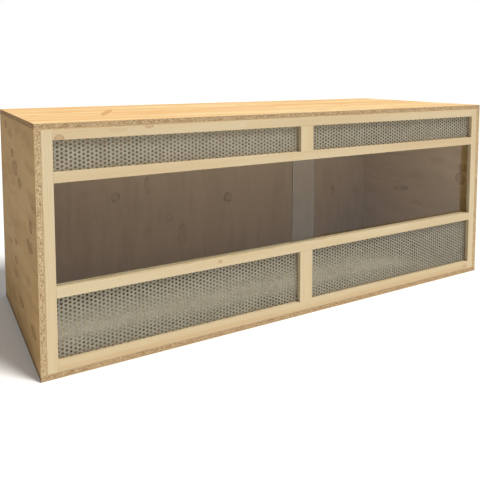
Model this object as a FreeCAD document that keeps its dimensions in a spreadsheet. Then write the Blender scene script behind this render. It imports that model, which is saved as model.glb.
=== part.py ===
import FreeCAD, Part

import os

import Sketcher

# Terrarium: a long box of faced boards, closed in front by a batten frame that holds four
# perforated sheets and two sliding glass panes.
# Millimetres. +X runs along the front to the right, the front faces -Y and +Z is up.
# The origin is at the middle of the underside.

SIZES = {
    # The box of boards
    "length": 1200,
    "depth": 480,
    "height": 480,
    "board_thickness": 12,
    # The battens of the front frame: face width, depth and eased edge, and the wider uprights
    "batten_width": 20,
    "batten_depth": 10,
    "batten_rounding": 0.8,
    "mullion_width": 35,
    # The clear heights behind which the sheets lie; the door opening takes the rest
    "lower_opening_height": 121,
    "upper_opening_height": 59,
    # Perforated sheets, which lap behind the battens on all sides
    "sheet_thickness": 0.8,
    "sheet_lap": 7.5,
    "sheet_edge_play": 0.5,
    # Glass panes, and the grooved tracks that they slide in
    "pane_thickness": 3,
    "pane_overlap": 60,
    "pane_arris": 0.4,
    "pane_side_play": 0.4,
    "pane_seat_play": 0.3,
    "pane_end_play": 1,
    "pane_top_hold": 3.5,
    "pane_lift_play": 0.5,
    "track_divider": 2,
    "track_rear_lip": 3,
    "lower_groove_depth": 5,
    # Dowels between the boards
    "board_dowel_diameter": 6,
    "board_dowel_length": 30,
    "board_dowel_in_face": 8,
    "board_dowel_margin": 60,
    # Dowels of the front frame
    "frame_dowel_diameter": 4,
    "frame_dowel_length": 16,
    "stile_dowel_margin": 76,
    "rail_dowel_margin": 120,
    "mullion_dowel_spacing": 18,
    # How every dowel is shaped, and how it sits in its hole
    "dowel_bevel": 0.8,
    "glue_gap": 0.1,
    "glue_pocket": 0.5,
    # Pan-head screws of the perforated sheets
    "screw_diameter": 2.5,
    "screw_length": 7,
    "screw_tip_length": 1.5,
    "screw_head_diameter": 5,
    "screw_head_height": 1.8,
    "screw_head_flat_share": 0.6,
    "screw_head_rim_share": 0.4,
    "screw_slot_width": 0.7,
    "screw_slot_length": 2.8,
    "screw_slot_depth": 0.9,
    "screw_play": 0.1,
    "screw_inset": 3.7,
    "screw_end_margin": 12,
    # How far a cut runs past the face that it leaves
    "overrun": 1,
}

DEEP_DOWEL_COUNT = 3
LONG_DOWEL_COUNT = 4
HIGH_DOWEL_COUNT = 2
STILE_DOWEL_COUNT = 3
RAIL_DOWEL_COUNT = 4
SCREW_COUNT = 5

# How near a point lies to the front face, as a share of the batten's depth, to count as on it
ON_FACE_SHARE = 0.000001

# How a sketch numbers a line's ends and a circle's middle, and its own two axes
START_INDEX, END_INDEX, MIDDLE_INDEX = 1, 2, 3
LEVEL_AXIS_INDEX, UPRIGHT_AXIS_INDEX = -1, -2

document = FreeCAD.newDocument("Terrarium")
sheet = document.addObject("Spreadsheet::Sheet", "Sizes")
for row, (name, value) in enumerate(SIZES.items(), start=1):
    sheet.set(f"A{row}", name)
    sheet.set(f"B{row}", str(value))
    sheet.setAlias(f"B{row}", name)
document.recompute()

# Places worked out from the sheet, as expressions

BOARD = "Sizes.board_thickness"
BATTEN = "Sizes.batten_width"
BATTEN_DEPTH = "Sizes.batten_depth"
MID_BOARD = f"({BOARD} / 2)"
MID_BATTEN = f"({BATTEN} / 2)"
MID_BATTEN_DEPTH = f"({BATTEN_DEPTH} / 2)"

LEFT = "(-Sizes.length / 2)"
FRONT = "(-Sizes.depth / 2)"
INNER_LEFT = f"({LEFT} + {BOARD})"
INNER_LENGTH = f"(Sizes.length - 2 * {BOARD})"
INNER_HEIGHT = f"(Sizes.height - 2 * {BOARD})"
INNER_RIGHT = f"({INNER_LEFT} + {INNER_LENGTH})"
BACK_PANEL_FRONT = f"(Sizes.depth / 2 - {BOARD})"

RAIL_LEFT = f"({INNER_LEFT} + {BATTEN})"
RAIL_LENGTH = f"({INNER_LENGTH} - 2 * {BATTEN})"
BOTTOM_RAIL_FOOT = BOARD
LOWER_OPENING_FOOT = f"({BOTTOM_RAIL_FOOT} + {BATTEN})"
LOWER_RAIL_FOOT = f"({LOWER_OPENING_FOOT} + Sizes.lower_opening_height)"
DOOR_FOOT = f"({LOWER_RAIL_FOOT} + {BATTEN})"
TOP_RAIL_FOOT = f"(Sizes.height - {BOARD} - {BATTEN})"
UPPER_OPENING_FOOT = f"({TOP_RAIL_FOOT} - Sizes.upper_opening_height)"
UPPER_RAIL_FOOT = f"({UPPER_OPENING_FOOT} - {BATTEN})"

FRAME_BACK = f"({FRONT} + {BATTEN_DEPTH})"
OPENING_LENGTH = f"(({RAIL_LENGTH} - Sizes.mullion_width) / 2)"
MULLION_LEFT = "(-Sizes.mullion_width / 2)"
MULLION_RIGHT = "(Sizes.mullion_width / 2)"

CHANNEL = "(Sizes.pane_thickness + 2 * Sizes.pane_side_play)"
REAR_CHANNEL = f"({CHANNEL} + Sizes.track_divider)"
TRACK_DEPTH = f"({REAR_CHANNEL} + {CHANNEL} + Sizes.track_rear_lip)"
TRACK_HEIGHT = f"({BATTEN} - Sizes.sheet_lap - Sizes.sheet_edge_play)"
PANE_FOOT = f"({DOOR_FOOT} - Sizes.lower_groove_depth + Sizes.pane_seat_play)"
PANE_HEIGHT = f"({UPPER_RAIL_FOOT} + Sizes.pane_top_hold - {PANE_FOOT})"
PANE_LENGTH = f"(({INNER_LENGTH} + Sizes.pane_overlap) / 2 - Sizes.pane_end_play)"
# Deep enough that a pane can be lifted out of the lower groove and swung free
UPPER_GROOVE_DEPTH = "(Sizes.lower_groove_depth + Sizes.pane_top_hold + Sizes.pane_lift_play)"

BOARD_DOWEL_HOLE = "(Sizes.board_dowel_diameter + 2 * Sizes.glue_gap)"
BOARD_DOWEL_IN_EDGE = "(Sizes.board_dowel_length - Sizes.board_dowel_in_face)"
FRAME_DOWEL_HOLE = "(Sizes.frame_dowel_diameter + 2 * Sizes.glue_gap)"
FRAME_DOWEL_HALF = "(Sizes.frame_dowel_length / 2)"
SCREW_HOLE = "(Sizes.screw_diameter + 2 * Sizes.screw_play)"
SCREW_BITE = "(Sizes.screw_length - Sizes.sheet_thickness + Sizes.screw_play)"


def spread(first, last, count):
    """Evenly spaced places from the first to the last, as expressions."""
    return [f"({first} + {k} * ({last} - {first}) / {count - 1})" for k in range(count)]


def within(margin, length, count):
    """Evenly spaced places along a length, with a margin at both ends."""
    return spread(margin, f"({length} - {margin})", count)


def moved(places, by):
    """The same places measured from another origin."""
    return [f"({by} + {place})" for place in places]


def along(places, height):
    """Points of one level row."""
    return [(place, height) for place in places]


def upright(across, places):
    """Points of one upright row."""
    return [(across, place) for place in places]


DEEP_DOWELS = within("Sizes.board_dowel_margin", "Sizes.depth", DEEP_DOWEL_COUNT)
LONG_DOWELS = within("Sizes.board_dowel_margin", INNER_LENGTH, LONG_DOWEL_COUNT)
HIGH_DOWELS = within("Sizes.board_dowel_margin", INNER_HEIGHT, HIGH_DOWEL_COUNT)
MID_BACK_PANEL = f"(Sizes.depth - {MID_BOARD})"
STILE_DOWEL_HEIGHTS = within("Sizes.stile_dowel_margin", INNER_HEIGHT, STILE_DOWEL_COUNT)
RAIL_DOWEL_PLACES = within("Sizes.rail_dowel_margin", RAIL_LENGTH, RAIL_DOWEL_COUNT)
RAIL_FEET = [BOTTOM_RAIL_FOOT, LOWER_RAIL_FOOT, UPPER_RAIL_FOOT, TOP_RAIL_FOOT]
MULLION_DOWELS = [
    "(Sizes.mullion_width / 2 - Sizes.mullion_dowel_spacing / 2)",
    "(Sizes.mullion_width / 2 + Sizes.mullion_dowel_spacing / 2)",
]
SCREW_PLACES = within("Sizes.screw_end_margin", OPENING_LENGTH, SCREW_COUNT)
RIGHT_OPENING = f"({OPENING_LENGTH} + Sizes.mullion_width)"

pieces = []
block_sizes = {}
cuts = []


def amount(expression):
    """The number that an expression on the sheet gives."""
    return float(sheet.evalExpression(expression))


def point(x, y, z):
    """A point whose three places are expressions."""
    return FreeCAD.Vector(amount(x), amount(y), amount(z))


def origin_plane(body, role):
    """One of a body's own origin planes."""
    for feature in body.Origin.OriginFeatures:
        if feature.Role == role:
            return feature
    raise ValueError(f"{body.Name} has no {role}")


def bind(sketch, constraint, expression):
    """Adds a constraint and ties its size to the sheet."""
    index = sketch.addConstraint(constraint)
    sketch.setExpression(f"Constraints[{index}]", expression)


def hold(sketch, geometry, end, across, up):
    """Holds a point of the sketch at its place; a place of 0 is on the axis."""
    places = (("DistanceX", UPRIGHT_AXIS_INDEX, across), ("DistanceY", LEVEL_AXIS_INDEX, up))
    for kind, axis, where in places:
        if where == "0":
            sketch.addConstraint(Sketcher.Constraint("PointOnObject", geometry, end, axis))
        else:
            origin = (LEVEL_AXIS_INDEX, START_INDEX)
            distance = Sketcher.Constraint(kind, *origin, geometry, end, amount(where))
            bind(sketch, distance, where)


def draw_rectangle(sketch, across, up, wide, high):
    """Draws a rectangle from its lower left corner."""
    low = FreeCAD.Vector(amount(across), amount(up), 0)
    run = FreeCAD.Vector(amount(wide), 0, 0)
    rise = FreeCAD.Vector(0, amount(high), 0)
    corners = [low, low + run, low + run + rise, low + rise]
    for side in range(4):
        sketch.addGeometry(Part.LineSegment(corners[side], corners[(side + 1) % 4]), False)
    for side, direction in enumerate(("Horizontal", "Vertical", "Horizontal", "Vertical")):
        corner = (side, END_INDEX, (side + 1) % 4, START_INDEX)
        sketch.addConstraint(Sketcher.Constraint("Coincident", *corner))
        sketch.addConstraint(Sketcher.Constraint(direction, side))
    foot, right_side = 0, 1
    hold(sketch, foot, START_INDEX, across, up)
    for kind, side, size in (("DistanceX", foot, wide), ("DistanceY", right_side, high)):
        ends = (side, START_INDEX, side, END_INDEX)
        bind(sketch, Sketcher.Constraint(kind, *ends, amount(size)), size)


def draw_circles(sketch, centres, diameter):
    """Draws equal circles."""
    for number, (across, up) in enumerate(centres):
        centre = FreeCAD.Vector(amount(across), amount(up), 0)
        circle = Part.Circle(centre, FreeCAD.Vector(0, 0, 1), amount(diameter) / 2)
        sketch.addGeometry(circle, False)
        hold(sketch, number, MIDDLE_INDEX, across, up)
        if number == 0:
            bind(sketch, Sketcher.Constraint("Diameter", 0, amount(diameter)), diameter)
        else:
            sketch.addConstraint(Sketcher.Constraint("Equal", 0, number))


def block(label, size, corner):
    """A straight board, batten, sheet or pane: its footprint is padded up from its low corner."""
    across, deep, tall = size
    body = document.addObject("PartDesign::Body", label)
    body.Label = label
    footprint = body.newObject("Sketcher::SketchObject", f"{label}_footprint")
    footprint.AttachmentSupport = (origin_plane(body, "XY_Plane"), [""])
    footprint.MapMode = "FlatFace"
    draw_rectangle(footprint, "0", "0", across, deep)
    pad = body.newObject("PartDesign::Pad", f"{label}_pad")
    pad.Profile = footprint
    pad.setExpression("Length", tall)
    for axis, where in zip("xyz", corner):
        body.setExpression(f"Placement.Base.{axis}", where)
    block_sizes[label] = size
    pieces.append(body)
    return body


def cut(body, name, face, depth, draw):
    """Cuts what draw() draws on one face of a block, to a depth into it."""
    across, deep, tall = block_sizes[body.Label]
    # The origin plane beside the face, how far the face is along that plane's normal, and
    # whether the cut runs along the normal
    plane, offset, along_normal = {
        "left": ("YZ_Plane", "0", True),
        "right": ("YZ_Plane", across, False),
        "front": ("XZ_Plane", "0", False),
        "back": ("XZ_Plane", f"-{deep}", True),
        "bottom": ("XY_Plane", "0", True),
        "top": ("XY_Plane", tall, False),
    }[face]
    sketch = body.newObject("Sketcher::SketchObject", f"{body.Label}_{name}_sketch")
    sketch.AttachmentSupport = (origin_plane(body, plane), [""])
    sketch.MapMode = "FlatFace"
    sketch.setExpression("AttachmentOffset.Base.z", offset)
    draw(sketch)
    before = body.Tip
    pocket = body.newObject("PartDesign::Pocket", f"{body.Label}_{name}")
    pocket.Profile = sketch
    pocket.setExpression("Length", depth)
    pocket.Reversed = along_normal
    cuts.append((before, pocket))


def drill(body, name, face, centres, diameter, depth):
    """Drills equal holes into one face of a block."""
    cut(body, name, face, depth, lambda sketch: draw_circles(sketch, centres, diameter))


def drill_for_board_dowels(body, name, face, centres, into):
    """Drills holes that take the dowels between the boards, with room for glue at the end."""
    drill(body, name, face, centres, BOARD_DOWEL_HOLE, f"({into} + Sizes.glue_pocket)")


def drill_for_frame_dowels(body, name, face, centres):
    """Drills holes that take half of each of the small dowels."""
    depth = f"({FRAME_DOWEL_HALF} + Sizes.glue_pocket)"
    drill(body, name, face, centres, FRAME_DOWEL_HOLE, depth)


def groove(body, name, across, up, high):
    """Cuts a pane's channel along the whole of a track, drawn on its left end."""
    through = f"({block_sizes[body.Label][0]} + Sizes.overrun)"

    def draw(sketch):
        draw_rectangle(sketch, across, up, CHANNEL, high)

    cut(body, name, "left", through, draw)


def ease_front_edges(body, lengthwise):
    """Rounds a batten's two long front edges."""
    document.recompute()
    pad = body.Tip
    near = amount(BATTEN_DEPTH) * ON_FACE_SHARE
    long_front_edges = []
    for number, edge in enumerate(pad.Shape.Edges, start=1):
        start, end = [vertex.Point for vertex in edge.Vertexes]
        on_front = abs(start.y) < near and abs(end.y) < near
        is_long = edge.Length - abs((end - start).dot(lengthwise)) < near
        if on_front and is_long:
            long_front_edges.append(f"Edge{number}")
    rounding = body.newObject("PartDesign::Fillet", f"{body.Label}_rounding")
    rounding.Base = (pad, long_front_edges)
    rounding.setExpression("Radius", "Sizes.batten_rounding")


def add_group(label, solids):
    """Identical small pieces, each its own solid."""
    group = document.addObject("Part::Feature", label)
    group.Label = label
    group.Shape = Part.makeCompound(solids)
    pieces.append(group)


# The box of boards

BOARD_DOWELS_IN_LONG_BOARD = (
    upright(MID_BOARD, DEEP_DOWELS)
    + upright(f"(Sizes.length - {MID_BOARD})", DEEP_DOWELS)
    + along(moved(LONG_DOWELS, BOARD), MID_BACK_PANEL)
)
FRAME_DOWELS_IN_LONG_BOARD = along(
    moved(RAIL_DOWEL_PLACES, f"({BOARD} + {BATTEN})"), MID_BATTEN_DEPTH
)


def long_board(label, foot, inner_face):
    """The bottom or the top board, which runs the full length over the sides' ends."""
    body = block(label, ("Sizes.length", "Sizes.depth", BOARD), (LEFT, FRONT, foot))
    drill_for_board_dowels(
        body,
        "board_dowel_holes",
        inner_face,
        BOARD_DOWELS_IN_LONG_BOARD,
        "Sizes.board_dowel_in_face",
    )
    drill_for_frame_dowels(body, "rail_dowel_holes", inner_face, FRAME_DOWELS_IN_LONG_BOARD)


def side_board(label, left, inner_face):
    """A side board, which stands between the bottom and the top."""
    body = block(label, (BOARD, "Sizes.depth", INNER_HEIGHT), (left, FRONT, BOARD))
    ends = upright(MID_BOARD, DEEP_DOWELS)
    drill_for_board_dowels(body, "foot_dowel_holes", "bottom", ends, BOARD_DOWEL_IN_EDGE)
    drill_for_board_dowels(body, "head_dowel_holes", "top", ends, BOARD_DOWEL_IN_EDGE)
    drill_for_board_dowels(
        body,
        "back_dowel_holes",
        inner_face,
        upright(MID_BACK_PANEL, HIGH_DOWELS),
        "Sizes.board_dowel_in_face",
    )
    to_stile = upright(MID_BATTEN_DEPTH, STILE_DOWEL_HEIGHTS)
    drill_for_frame_dowels(body, "stile_dowel_holes", inner_face, to_stile)


def back_board():
    """The back, which stands inside the four other boards."""
    size = (INNER_LENGTH, BOARD, INNER_HEIGHT)
    body = block("back_panel", size, (INNER_LEFT, BACK_PANEL_FRONT, BOARD))
    for name, face in (("foot", "bottom"), ("head", "top")):
        centres = along(LONG_DOWELS, MID_BOARD)
        drill_for_board_dowels(body, f"{name}_dowel_holes", face, centres, BOARD_DOWEL_IN_EDGE)
    for face in ("left", "right"):
        centres = upright(MID_BOARD, HIGH_DOWELS)
        drill_for_board_dowels(body, f"{face}_dowel_holes", face, centres, BOARD_DOWEL_IN_EDGE)


long_board("bottom_panel", "0", "top")
long_board("top_panel", f"(Sizes.height - {BOARD})", "bottom")
side_board("left_side_panel", LEFT, "right")
side_board("right_side_panel", INNER_RIGHT, "left")
back_board()


# The front frame of battens

LENGTHWISE = FreeCAD.Vector(1, 0, 0)
UP = FreeCAD.Vector(0, 0, 1)
LOW_SCREW_LINE = "Sizes.screw_inset"
HIGH_SCREW_LINE = f"({BATTEN} - Sizes.screw_inset)"


def stile(label, left, outer_face, inner_face):
    """An upright at one end of the frame."""
    body = block(label, (BATTEN, BATTEN_DEPTH, INNER_HEIGHT), (left, FRONT, BOARD))
    ease_front_edges(body, UP)
    rail_heights = [f"({foot} - {BOARD} + {MID_BATTEN})" for foot in RAIL_FEET]
    to_rails = upright(MID_BATTEN_DEPTH, rail_heights)
    to_board = upright(MID_BATTEN_DEPTH, STILE_DOWEL_HEIGHTS)
    drill_for_frame_dowels(body, "rail_dowel_holes", inner_face, to_rails)
    drill_for_frame_dowels(body, "board_dowel_holes", outer_face, to_board)


def rail(label, foot, screw_line, mullion_face, board_face=None):
    """A level batten between the stiles."""
    body = block(label, (RAIL_LENGTH, BATTEN_DEPTH, BATTEN), (RAIL_LEFT, FRONT, foot))
    ease_front_edges(body, LENGTHWISE)
    for face in ("left", "right"):
        centre = [(MID_BATTEN_DEPTH, MID_BATTEN)]
        drill_for_frame_dowels(body, f"{face}_dowel_hole", face, centre)
    screws = SCREW_PLACES + moved(SCREW_PLACES, RIGHT_OPENING)
    drill(body, "screw_holes", "back", along(screws, screw_line), SCREW_HOLE, SCREW_BITE)
    to_mullion = along(moved(MULLION_DOWELS, OPENING_LENGTH), MID_BATTEN_DEPTH)
    drill_for_frame_dowels(body, "mullion_dowel_holes", mullion_face, to_mullion)
    if board_face:
        to_board = along(RAIL_DOWEL_PLACES, MID_BATTEN_DEPTH)
        drill_for_frame_dowels(body, "board_dowel_holes", board_face, to_board)


def mullion(label, foot, height):
    """A wider upright between two rails."""
    size = ("Sizes.mullion_width", BATTEN_DEPTH, height)
    body = block(label, size, (MULLION_LEFT, FRONT, foot))
    ease_front_edges(body, UP)
    for name, face in (("foot", "bottom"), ("head", "top")):
        to_rail = along(MULLION_DOWELS, MID_BATTEN_DEPTH)
        drill_for_frame_dowels(body, f"{name}_dowel_holes", face, to_rail)


stile("left_stile", INNER_LEFT, "left", "right")
stile("right_stile", f"({INNER_RIGHT} - {BATTEN})", "right", "left")
rail("bottom_rail", BOTTOM_RAIL_FOOT, HIGH_SCREW_LINE, "top", "bottom")
rail("lower_middle_rail", LOWER_RAIL_FOOT, LOW_SCREW_LINE, "bottom")
rail("upper_middle_rail", UPPER_RAIL_FOOT, HIGH_SCREW_LINE, "top")
rail("top_rail", TOP_RAIL_FOOT, LOW_SCREW_LINE, "bottom", "top")
mullion("lower_mullion", LOWER_OPENING_FOOT, "Sizes.lower_opening_height")
mullion("upper_mullion", UPPER_OPENING_FOOT, "Sizes.upper_opening_height")


# The perforated sheets, kept plain: only the holes of their screws are cut

SHEET_LENGTH = f"({OPENING_LENGTH} + 2 * Sizes.sheet_lap)"


def perforated_sheet(label, opening_left, opening_foot, opening_height):
    """A sheet behind one opening of the frame, lapping on to the battens round it."""
    height = f"({opening_height} + 2 * Sizes.sheet_lap)"
    left = f"({opening_left} - Sizes.sheet_lap)"
    foot = f"({opening_foot} - Sizes.sheet_lap)"
    size = (SHEET_LENGTH, "Sizes.sheet_thickness", height)
    body = block(label, size, (left, FRAME_BACK, foot))
    screws = moved(SCREW_PLACES, "Sizes.sheet_lap")
    low_line = "(Sizes.sheet_lap - Sizes.screw_inset)"
    high_line = f"({height} - {low_line})"
    drill(
        body,
        "screw_holes",
        "back",
        along(screws, low_line) + along(screws, high_line),
        SCREW_HOLE,
        "(Sizes.sheet_thickness + Sizes.overrun)",
    )


OPENINGS = {
    "lower_left_sheet": (RAIL_LEFT, LOWER_OPENING_FOOT, "Sizes.lower_opening_height"),
    "lower_right_sheet": (MULLION_RIGHT, LOWER_OPENING_FOOT, "Sizes.lower_opening_height"),
    "upper_left_sheet": (RAIL_LEFT, UPPER_OPENING_FOOT, "Sizes.upper_opening_height"),
    "upper_right_sheet": (MULLION_RIGHT, UPPER_OPENING_FOOT, "Sizes.upper_opening_height"),
}
for label, (left, foot, height) in OPENINGS.items():
    perforated_sheet(label, left, foot, height)


# The tracks and the panes


def track(label, foot, groove_foot, groove_depth):
    """A batten behind a middle rail, with one channel against the rail and one behind it."""
    size = (INNER_LENGTH, TRACK_DEPTH, TRACK_HEIGHT)
    body = block(label, size, (INNER_LEFT, FRAME_BACK, foot))
    groove(body, "front_channel", "0", groove_foot, groove_depth)
    groove(body, "rear_channel", REAR_CHANNEL, groove_foot, groove_depth)


def pane(label, left, front):
    """A sliding glass pane with its edges arrised."""
    size = (PANE_LENGTH, "Sizes.pane_thickness", PANE_HEIGHT)
    body = block(label, size, (left, front, PANE_FOOT))
    document.recompute()
    pad = body.Tip
    arris = body.newObject("PartDesign::Chamfer", f"{label}_arris")
    arris.Base = (pad, [f"Edge{number + 1}" for number in range(len(pad.Shape.Edges))])
    arris.setExpression("Size", "Sizes.pane_arris")


lower_track_foot = f"({DOOR_FOOT} - {TRACK_HEIGHT})"
lower_groove_foot = f"({TRACK_HEIGHT} - Sizes.lower_groove_depth)"
track("lower_track", lower_track_foot, lower_groove_foot, "Sizes.lower_groove_depth")
track("upper_track", UPPER_RAIL_FOOT, "0", UPPER_GROOVE_DEPTH)

front_pane = f"({FRAME_BACK} + Sizes.pane_side_play)"
rear_pane = f"({front_pane} + {REAR_CHANNEL})"
pane("left_pane", f"({INNER_LEFT} + Sizes.pane_end_play)", front_pane)
pane("right_pane", f"({INNER_RIGHT} - Sizes.pane_end_play - {PANE_LENGTH})", rear_pane)


# The dowels and screws


def turned(outline, foot, direction):
    """A solid turned from half its outline, standing on foot and pointing along direction."""
    corners = [FreeCAD.Vector(radius, 0, height) for radius, height in outline]
    half = Part.Face(Part.makePolygon(corners + corners[:1]))
    solid = half.revolve(FreeCAD.Vector(0, 0, 0), UP, 360)
    solid.Placement = FreeCAD.Placement(foot, FreeCAD.Rotation(UP, direction))
    return solid


def dowel(diameter, length, foot, direction):
    """A dowel with bevelled ends."""
    radius = amount(diameter) / 2
    run = amount(length)
    bevel = amount("Sizes.dowel_bevel")
    outline = [
        (0, 0),
        (radius - bevel, 0),
        (radius, bevel),
        (radius, run - bevel),
        (radius - bevel, run),
        (0, run),
    ]
    return turned(outline, foot, direction)


def board_dowel(joint, direction):
    """A dowel from a board's face, at the joint, on into another board's edge."""
    foot = joint - direction * amount("Sizes.board_dowel_in_face")
    return dowel("Sizes.board_dowel_diameter", "Sizes.board_dowel_length", foot, direction)


def frame_dowel(joint, direction):
    """A small dowel that reaches as far on both sides of the joint."""
    foot = joint - direction * amount(FRAME_DOWEL_HALF)
    return dowel("Sizes.frame_dowel_diameter", "Sizes.frame_dowel_length", foot, direction)


def board_dowels():
    """The dowels between the boards."""
    dowels = []
    levels = ((BOARD, UP), (f"(Sizes.height - {BOARD})", -UP))
    side_middles = (f"({LEFT} + {MID_BOARD})", f"({INNER_RIGHT} + {MID_BOARD})")
    back_middle = f"({BACK_PANEL_FRONT} + {MID_BOARD})"
    for height, direction in levels:
        for side in side_middles:
            for deep in DEEP_DOWELS:
                dowels.append(board_dowel(point(side, f"({FRONT} + {deep})", height), direction))
        for place in LONG_DOWELS:
            joint = point(f"({INNER_LEFT} + {place})", back_middle, height)
            dowels.append(board_dowel(joint, direction))
    for inner_face, direction in ((INNER_LEFT, LENGTHWISE), (INNER_RIGHT, -LENGTHWISE)):
        for place in HIGH_DOWELS:
            joint = point(inner_face, back_middle, f"({BOARD} + {place})")
            dowels.append(board_dowel(joint, direction))
    return dowels


def frame_dowels():
    """The dowels between the battens, and between the battens and the boards."""
    dowels = []
    middle = f"({FRONT} + {MID_BATTEN_DEPTH})"
    for joint_at, direction in ((RAIL_LEFT, LENGTHWISE), (f"(-{RAIL_LEFT})", -LENGTHWISE)):
        for foot in RAIL_FEET:
            joint = point(joint_at, middle, f"({foot} + {MID_BATTEN})")
            dowels.append(frame_dowel(joint, direction))
    for height in (LOWER_OPENING_FOOT, LOWER_RAIL_FOOT, UPPER_OPENING_FOOT, TOP_RAIL_FOOT):
        for place in MULLION_DOWELS:
            joint = point(f"({MULLION_LEFT} + {place})", middle, height)
            dowels.append(frame_dowel(joint, UP))
    for joint_at, direction in ((INNER_LEFT, LENGTHWISE), (INNER_RIGHT, -LENGTHWISE)):
        for place in STILE_DOWEL_HEIGHTS:
            joint = point(joint_at, middle, f"({BOARD} + {place})")
            dowels.append(frame_dowel(joint, direction))
    for height, direction in ((BOARD, UP), (f"(Sizes.height - {BOARD})", -UP)):
        for place in RAIL_DOWEL_PLACES:
            joint = point(f"({RAIL_LEFT} + {place})", middle, height)
            dowels.append(frame_dowel(joint, direction))
    return dowels


def screw(seat):
    """A pan-head screw with a cross slot, its head standing back from its seat."""
    radius = amount("Sizes.screw_diameter") / 2
    head = amount("Sizes.screw_head_diameter") / 2
    height = amount("Sizes.screw_head_height")
    length = amount("Sizes.screw_length")
    outline = [
        (0, -length),
        (radius, amount("Sizes.screw_tip_length") - length),
        (radius, 0),
        (head, 0),
        (head, height * amount("Sizes.screw_head_rim_share")),
        (head * amount("Sizes.screw_head_flat_share"), height),
        (0, height),
    ]
    solid = turned(outline, FreeCAD.Vector(0, 0, 0), UP)
    wide = amount("Sizes.screw_slot_width")
    long = amount("Sizes.screw_slot_length")
    floor = height - amount("Sizes.screw_slot_depth")
    tall = amount("Sizes.screw_slot_depth") + amount("Sizes.overrun")
    for run, width in ((long, wide), (wide, long)):
        corner = FreeCAD.Vector(-run / 2, -width / 2, floor)
        solid = solid.cut(Part.makeBox(run, width, tall, corner))
    backwards = FreeCAD.Vector(0, 1, 0)
    solid.Placement = FreeCAD.Placement(seat, FreeCAD.Rotation(UP, backwards))
    return solid


def sheet_screws():
    """The screws along the lower and upper edges of every perforated sheet."""
    screws = []
    seat = f"({FRAME_BACK} + Sizes.sheet_thickness)"
    for left, foot, height in OPENINGS.values():
        lines = (f"({foot} - Sizes.screw_inset)", f"({foot} + {height} + Sizes.screw_inset)")
        for line in lines:
            for place in SCREW_PLACES:
                screws.append(screw(point(f"({left} + {place})", seat, line)))
    return screws


add_group("board_dowels", board_dowels())
add_group("frame_dowels", frame_dowels())
add_group("sheet_screws", sheet_screws())


# Checks, and the files

document.recompute()
for item in document.Objects:
    if "Invalid" in item.State or "Error" in item.State:
        raise RuntimeError(f"{item.Label} failed: {item.State}")
for before, pocket in cuts:
    if pocket.Shape.Volume >= before.Shape.Volume:
        raise RuntimeError(f"{pocket.Label} cuts nothing")
for piece in pieces:
    if piece.Shape.isNull() or not piece.Shape.isValid():
        raise RuntimeError(f"{piece.Label} has no valid shape")

os.makedirs("parts", exist_ok=True)
for piece in pieces:
    piece.Shape.exportStep(f"parts/{piece.Label}.step")
    print(piece.Label, len(piece.Shape.Solids), round(piece.Shape.Volume))
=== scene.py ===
"""The terrarium's finishes, its perforated sheets, and the studio it stands in."""

import math

import bpy
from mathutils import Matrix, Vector


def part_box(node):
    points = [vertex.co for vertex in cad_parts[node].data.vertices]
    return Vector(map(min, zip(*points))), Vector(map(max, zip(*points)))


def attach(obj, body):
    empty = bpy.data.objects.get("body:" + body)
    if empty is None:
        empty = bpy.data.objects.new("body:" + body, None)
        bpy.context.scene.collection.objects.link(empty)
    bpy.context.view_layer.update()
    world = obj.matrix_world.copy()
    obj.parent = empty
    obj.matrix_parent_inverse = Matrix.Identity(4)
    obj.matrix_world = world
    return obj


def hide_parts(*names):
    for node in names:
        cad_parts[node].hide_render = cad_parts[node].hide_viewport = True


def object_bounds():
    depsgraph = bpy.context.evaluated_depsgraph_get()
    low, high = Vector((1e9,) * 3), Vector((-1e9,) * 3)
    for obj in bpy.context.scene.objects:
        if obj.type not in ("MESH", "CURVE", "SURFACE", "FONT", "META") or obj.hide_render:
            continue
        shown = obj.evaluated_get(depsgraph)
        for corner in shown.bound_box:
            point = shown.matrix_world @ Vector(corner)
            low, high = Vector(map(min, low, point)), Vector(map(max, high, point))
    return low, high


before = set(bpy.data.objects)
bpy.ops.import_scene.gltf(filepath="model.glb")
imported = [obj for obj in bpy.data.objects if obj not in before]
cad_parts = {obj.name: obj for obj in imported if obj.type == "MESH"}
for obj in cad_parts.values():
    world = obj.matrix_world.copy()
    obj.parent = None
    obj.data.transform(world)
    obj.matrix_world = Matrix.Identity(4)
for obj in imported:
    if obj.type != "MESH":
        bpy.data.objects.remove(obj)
cad_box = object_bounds()

# Every length is in metres, and the box is seen from the front: X to the right, Y to the back, Z up.
MM = 0.001

# The perforated sheets: round holes in straight columns, every second column half a pitch higher.
HOLE_PITCH = 8 * MM
HOLE_RADIUS = 2.5 * MM
HOLE_SIDES = 16
SCREW_HOLE_RADIUS = 1.35 * MM
SCREWS_PER_EDGE = 5
SCREW_END_MARGIN = 12 * MM
SCREW_INSET = 3.7 * MM
WELD_DISTANCE = 0.001 * MM

# Each sheet is cut from a larger one, so its first hole lies elsewhere: from the opening's corner.
SHEETS = {
    "lower_left_sheet": dict(
        row="lower", left="left_stile", right="lower_mullion",
        under="bottom_rail", over="lower_middle_rail", first_hole=(2 * MM, 5.4 * MM),
    ),
    "lower_right_sheet": dict(
        row="lower", left="lower_mullion", right="right_stile",
        under="bottom_rail", over="lower_middle_rail", first_hole=(4.35 * MM, 4.3 * MM),
    ),
    "upper_left_sheet": dict(
        row="upper", left="left_stile", right="upper_mullion",
        under="upper_middle_rail", over="top_rail", first_hole=(1.7 * MM, 1.05 * MM),
    ),
    "upper_right_sheet": dict(
        row="upper", left="upper_mullion", right="right_stile",
        under="upper_middle_rail", over="top_rail", first_hole=(4 * MM, 0.9 * MM),
    ),
}

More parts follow.
